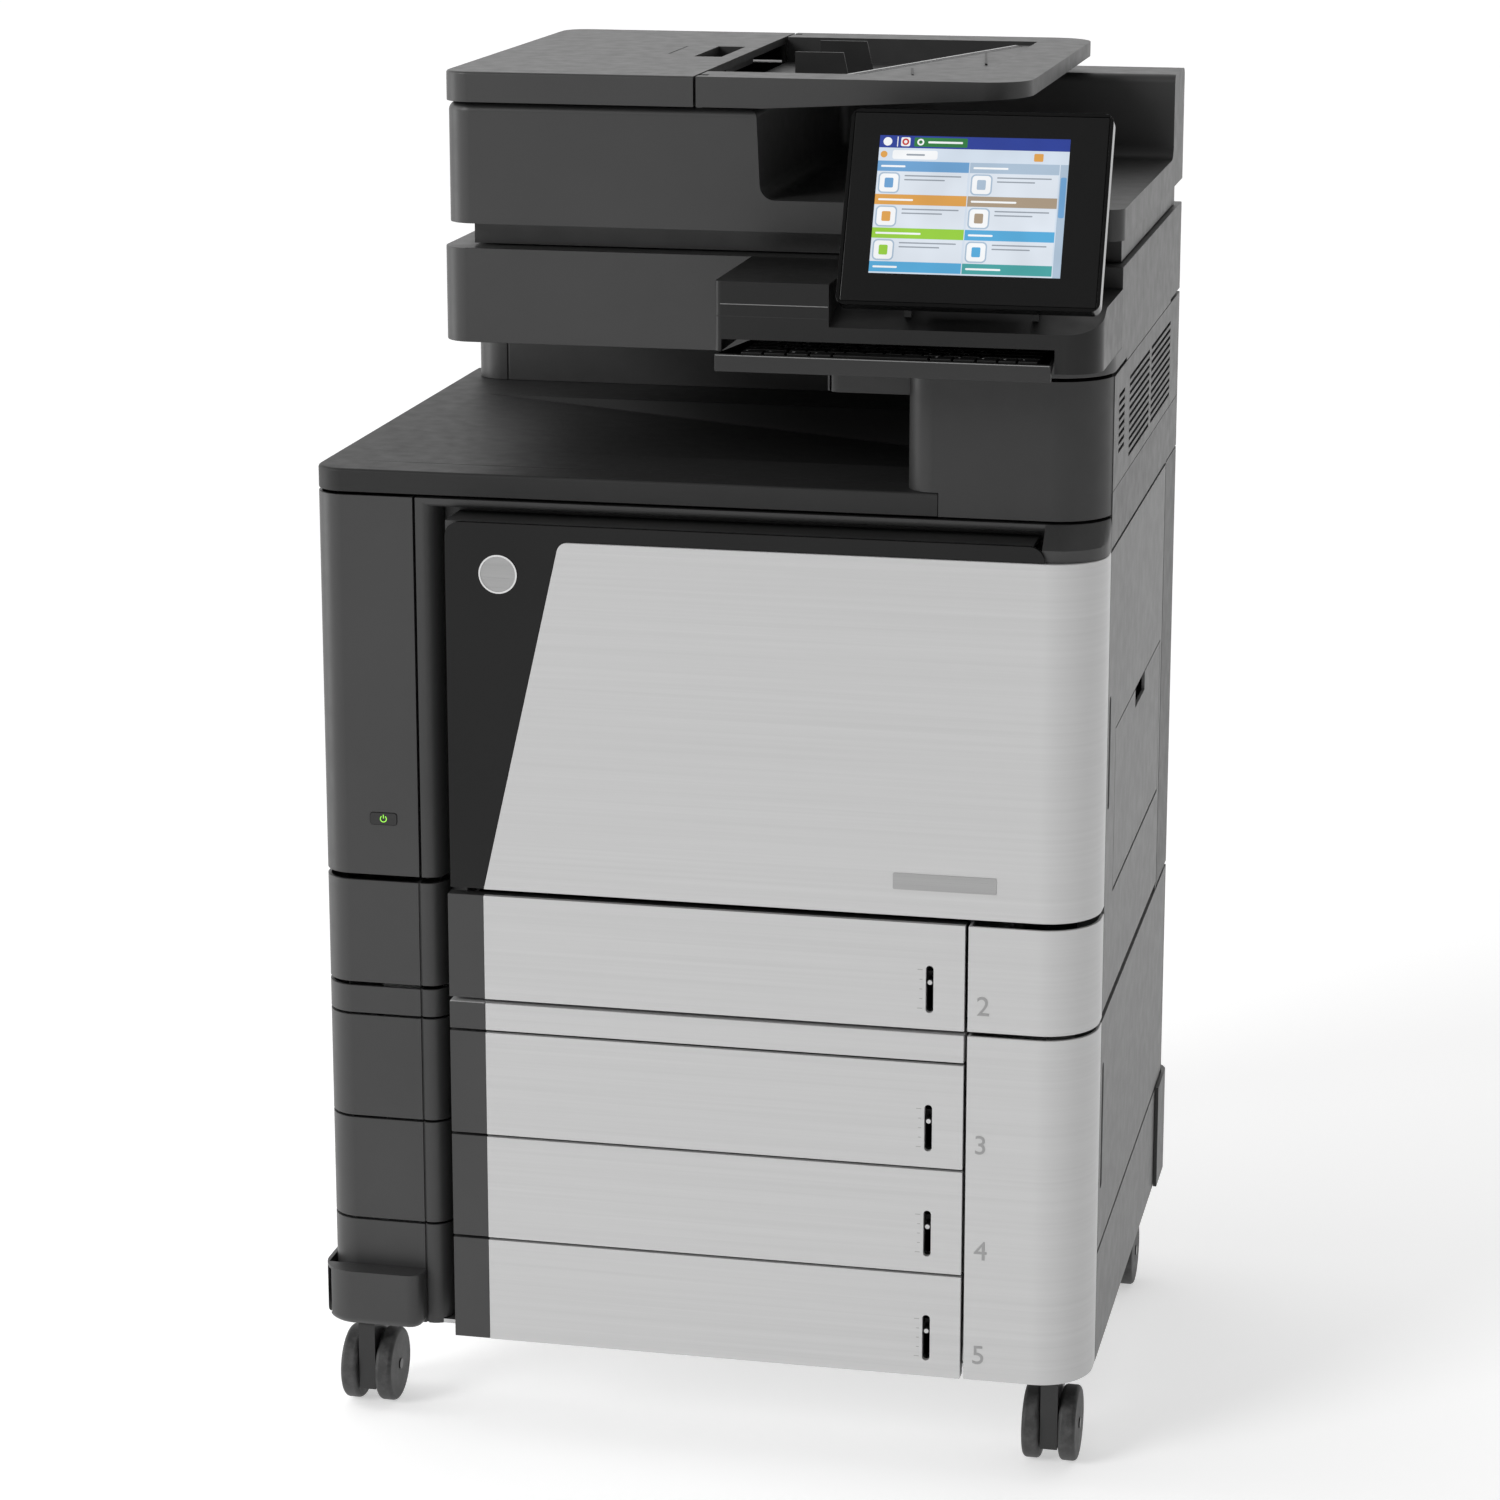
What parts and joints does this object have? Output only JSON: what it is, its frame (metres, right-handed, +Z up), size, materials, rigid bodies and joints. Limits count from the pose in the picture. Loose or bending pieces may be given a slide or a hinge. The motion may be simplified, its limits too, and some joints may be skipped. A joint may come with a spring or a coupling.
{
  "type": "photocopier",
  "caption": "Floor-standing office copier: scanner with document feeder, tilting touch display, drop-down front door, stacked paper drawers and swivel casters.",
  "frame": {"origin": "bottom centre of the whole object's box, on the floor under the casters", "axes": "+Z up, -Y towards the person using it (front door and trays), +X to that person's right"},
  "size_m": [0.73, 0.655, 1.276],
  "materials": {
    "dark_plastic": "satin charcoal moulded plastic",
    "grip_black": "matt black moulded plastic",
    "gloss_black": "glossy black panel",
    "silver_front": "silver panel with fine level brush lines",
    "silver_side": "satin silver-grey moulded plastic",
    "frame_steel": "zinc-plated sheet steel",
    "platen_glass": "clear glass",
    "screen": "black touch glass over a lit display",
    "keycaps": "matt black key caps",
    "wheel": "worn dark grey tread",
    "roller_rubber": "soft dark rubber rollers",
    "caster_body": "black nylon",
    "toner": "black cartridge body",
    "drum": "dark grey drum unit",
    "belt": "dark glossy belt",
    "fuser": "heat-stained steel",
    "rear_steel": "grey coated sheet steel"
  },
  "bodies": {
    "cabinet": {"base_frame": "frame_steel", "engine_frame": "frame_steel", "left_column_upper": "dark_plastic", "left_column_lower": "dark_plastic", "left_side_panel": "dark_plastic", "rear_cover": "rear_steel", "lower_cabinet_panels": "silver_side", "filler_strip": "silver_front", "right_corner_covers": "silver_front", "foot_covers": "dark_plastic", "output_deck": "dark_plastic", "exit_tower": "dark_plastic", "rear_wall": "dark_plastic", "vent_panel": "dark_plastic", "inner_cover": "dark_plastic", "toner_cartridges": "toner", "drum_units": "drum", "transfer_belt_unit": "belt", "fuser_unit": "fuser", "scanner_base": "dark_plastic", "platen_glass": "platen_glass", "control_pod": "dark_plastic"},
    "front_door": {"door_frame": "dark_plastic", "door_gloss_panel": "gloss_black", "door_silver_panel": "silver_front"},
    "upper_right_door": {"upper_right_door": "silver_side"},
    "tray_1": {"tray_1_flap": "silver_side"},
    "lower_right_door": {"lower_right_door": "silver_side"},
    "keyboard": {"keyboard_tray": "grip_black", "keyboard_keys": "keycaps"},
    "display": {"display_housing": "gloss_black", "display_screen": "screen"},
    "feeder": {"feeder_base": "dark_plastic"},
    "feeder_lid": {"feeder_lid": "dark_plastic"},
    "input_tray": {"feeder_input_tray": "dark_plastic"},
    "guide_front": {"feeder_guide_front": "grip_black"},
    "guide_rear": {"feeder_guide_rear": "grip_black"},
    "scan_carriage": {"scan_carriage": "grip_black"},
    "power_button": {"power_button": "grip_black"},
    "exit_roller": {"exit_roller": "roller_rubber"},
    "tray_5": {"tray_5_front": "silver_front", "tray_5_cassette": "grip_black"},
    "pointer_5": {"tray_5_pointer": "grip_black"},
    "tray_4": {"tray_4_front": "silver_front", "tray_4_cassette": "grip_black"},
    "pointer_4": {"tray_4_pointer": "grip_black"},
    "tray_3": {"tray_3_front": "silver_front", "tray_3_cassette": "grip_black"},
    "pointer_3": {"tray_3_pointer": "grip_black"},
    "tray_2": {"tray_2_front": "silver_front", "tray_2_cassette": "grip_black"},
    "pointer_2": {"tray_2_pointer": "grip_black"},
    "caster_front_left": {"caster_yoke_front_left": "caster_body"},
    "wheels_front_left": {"caster_wheels_front_left": "wheel"},
    "caster_front_right": {"caster_yoke_front_right": "caster_body"},
    "wheels_front_right": {"caster_wheels_front_right": "wheel"},
    "caster_rear_left": {"caster_yoke_rear_left": "caster_body"},
    "wheels_rear_left": {"caster_wheels_rear_left": "wheel"},
    "caster_rear_right": {"caster_yoke_rear_right": "caster_body"},
    "wheels_rear_right": {"caster_wheels_rear_right": "wheel"}
  },
  "joints": [
    {"name": "front_door_hinge", "type": "hinge", "parent": "cabinet", "child": "front_door", "pos_m": [0, -0.2665, 0.5465], "axis": [1, 0, 0], "range_deg": [0, 90]},
    {"name": "upper_right_door_hinge", "type": "hinge", "parent": "cabinet", "child": "upper_right_door", "pos_m": [0.357, 0.2085, 0.65], "axis": [0, 0, 1], "range_deg": [0, 88]},
    {"name": "tray_1_fold", "type": "hinge", "parent": "upper_right_door", "child": "tray_1", "pos_m": [0.357, 0.0245, 0.541], "axis": [0, 1, 0], "range_deg": [0, 75]},
    {"name": "lower_right_door_hinge", "type": "hinge", "parent": "cabinet", "child": "lower_right_door", "pos_m": [0.357, 0.2935, 0.32], "axis": [0, 0, 1], "range_deg": [0, 95]},
    {"name": "keyboard_slide", "type": "slide", "parent": "cabinet", "child": "keyboard", "axis": [0, -1, 0], "range_m": [0, 0.12]},
    {"name": "display_tilt", "type": "hinge", "parent": "cabinet", "child": "display", "pos_m": [0.248, -0.2902, 1.1085], "axis": [1, 0, 0], "range_deg": [-20, 15]},
    {"name": "feeder_lift", "type": "hinge", "parent": "cabinet", "child": "feeder", "pos_m": [0.06, 0.2925, 1.118], "axis": [-1, 0, 0], "range_deg": [0, 70]},
    {"name": "feeder_lid_hinge", "type": "hinge", "parent": "feeder", "child": "feeder_lid", "pos_m": [-0.2545, 0.0545, 1.244], "axis": [0, -1, 0], "range_deg": [0, 75]},
    {"name": "input_tray_lift", "type": "hinge", "parent": "feeder", "child": "input_tray", "pos_m": [-0.0195, 0.0545, 1.265], "axis": [0, -1, 0], "range_deg": [0, 50]},
    {"name": "guide_front_slide", "type": "slide", "parent": "input_tray", "child": "guide_front", "axis": [0, 1, 0], "range_m": [-0.085, 0.04]},
    {"name": "guide_rear_slide", "type": "slide", "parent": "input_tray", "child": "guide_rear", "axis": [0, 1, 0], "range_m": [-0.04, 0.085]},
    {"name": "exit_roller_turn", "type": "hinge", "parent": "cabinet", "child": "exit_roller", "pos_m": [0.194, 0.0195, 0.964], "axis": [0, 1, 0], "continuous": true},
    {"name": "carriage_slide", "type": "slide", "parent": "cabinet", "child": "scan_carriage", "axis": [1, 0, 0], "range_m": [0, 0.43]},
    {"name": "power_button_press", "type": "slide", "parent": "cabinet", "child": "power_button", "axis": [0, 1, 0], "range_m": [0, 0.0015], "stiffness_N_per_m": 400},
    {"name": "tray_5_slide", "type": "slide", "parent": "cabinet", "child": "tray_5", "axis": [0, -1, 0], "range_m": [0, 0.38]},
    {"name": "pointer_5_slide", "type": "slide", "parent": "tray_5", "child": "pointer_5", "axis": [0, 0, 1], "range_m": [-0.024, 0.012]},
    {"name": "tray_4_slide", "type": "slide", "parent": "cabinet", "child": "tray_4", "axis": [0, -1, 0], "range_m": [0, 0.38]},
    {"name": "pointer_4_slide", "type": "slide", "parent": "tray_4", "child": "pointer_4", "axis": [0, 0, 1], "range_m": [-0.024, 0.012]},
    {"name": "tray_3_slide", "type": "slide", "parent": "cabinet", "child": "tray_3", "axis": [0, -1, 0], "range_m": [0, 0.38]},
    {"name": "pointer_3_slide", "type": "slide", "parent": "tray_3", "child": "pointer_3", "axis": [0, 0, 1], "range_m": [-0.024, 0.012]},
    {"name": "tray_2_slide", "type": "slide", "parent": "cabinet", "child": "tray_2", "axis": [0, -1, 0], "range_m": [0, 0.38]},
    {"name": "pointer_2_slide", "type": "slide", "parent": "tray_2", "child": "pointer_2", "axis": [0, 0, 1], "range_m": [-0.024, 0.012]},
    {"name": "swivel_front_left", "type": "hinge", "parent": "cabinet", "child": "caster_front_left", "pos_m": [-0.333, -0.1835, 0.09], "axis": [0, 0, 1], "continuous": true},
    {"name": "roll_front_left", "type": "hinge", "parent": "caster_front_left", "child": "wheels_front_left", "pos_m": [-0.333, -0.2035, 0.035], "axis": [1, 0, 0], "continuous": true},
    {"name": "swivel_front_right", "type": "hinge", "parent": "cabinet", "child": "caster_front_right", "pos_m": [0.322, -0.1835, 0.09], "axis": [0, 0, 1], "continuous": true},
    {"name": "roll_front_right", "type": "hinge", "parent": "caster_front_right", "child": "wheels_front_right", "pos_m": [0.322, -0.2035, 0.035], "axis": [1, 0, 0], "continuous": true},
    {"name": "swivel_rear_left", "type": "hinge", "parent": "cabinet", "child": "caster_rear_left", "pos_m": [-0.333, 0.2525, 0.09], "axis": [0, 0, 1], "continuous": true},
    {"name": "roll_rear_left", "type": "hinge", "parent": "caster_rear_left", "child": "wheels_rear_left", "pos_m": [-0.333, 0.2325, 0.035], "axis": [1, 0, 0], "continuous": true},
    {"name": "swivel_rear_right", "type": "hinge", "parent": "cabinet", "child": "caster_rear_right", "pos_m": [0.322, 0.2525, 0.09], "axis": [0, 0, 1], "continuous": true},
    {"name": "roll_rear_right", "type": "hinge", "parent": "caster_rear_right", "child": "wheels_rear_right", "pos_m": [0.322, 0.2325, 0.035], "axis": [1, 0, 0], "continuous": true}
  ],
  "couplings": [
    {"joint": "guide_rear_slide", "follows": "guide_front_slide", "ratio": -1}
  ]
}
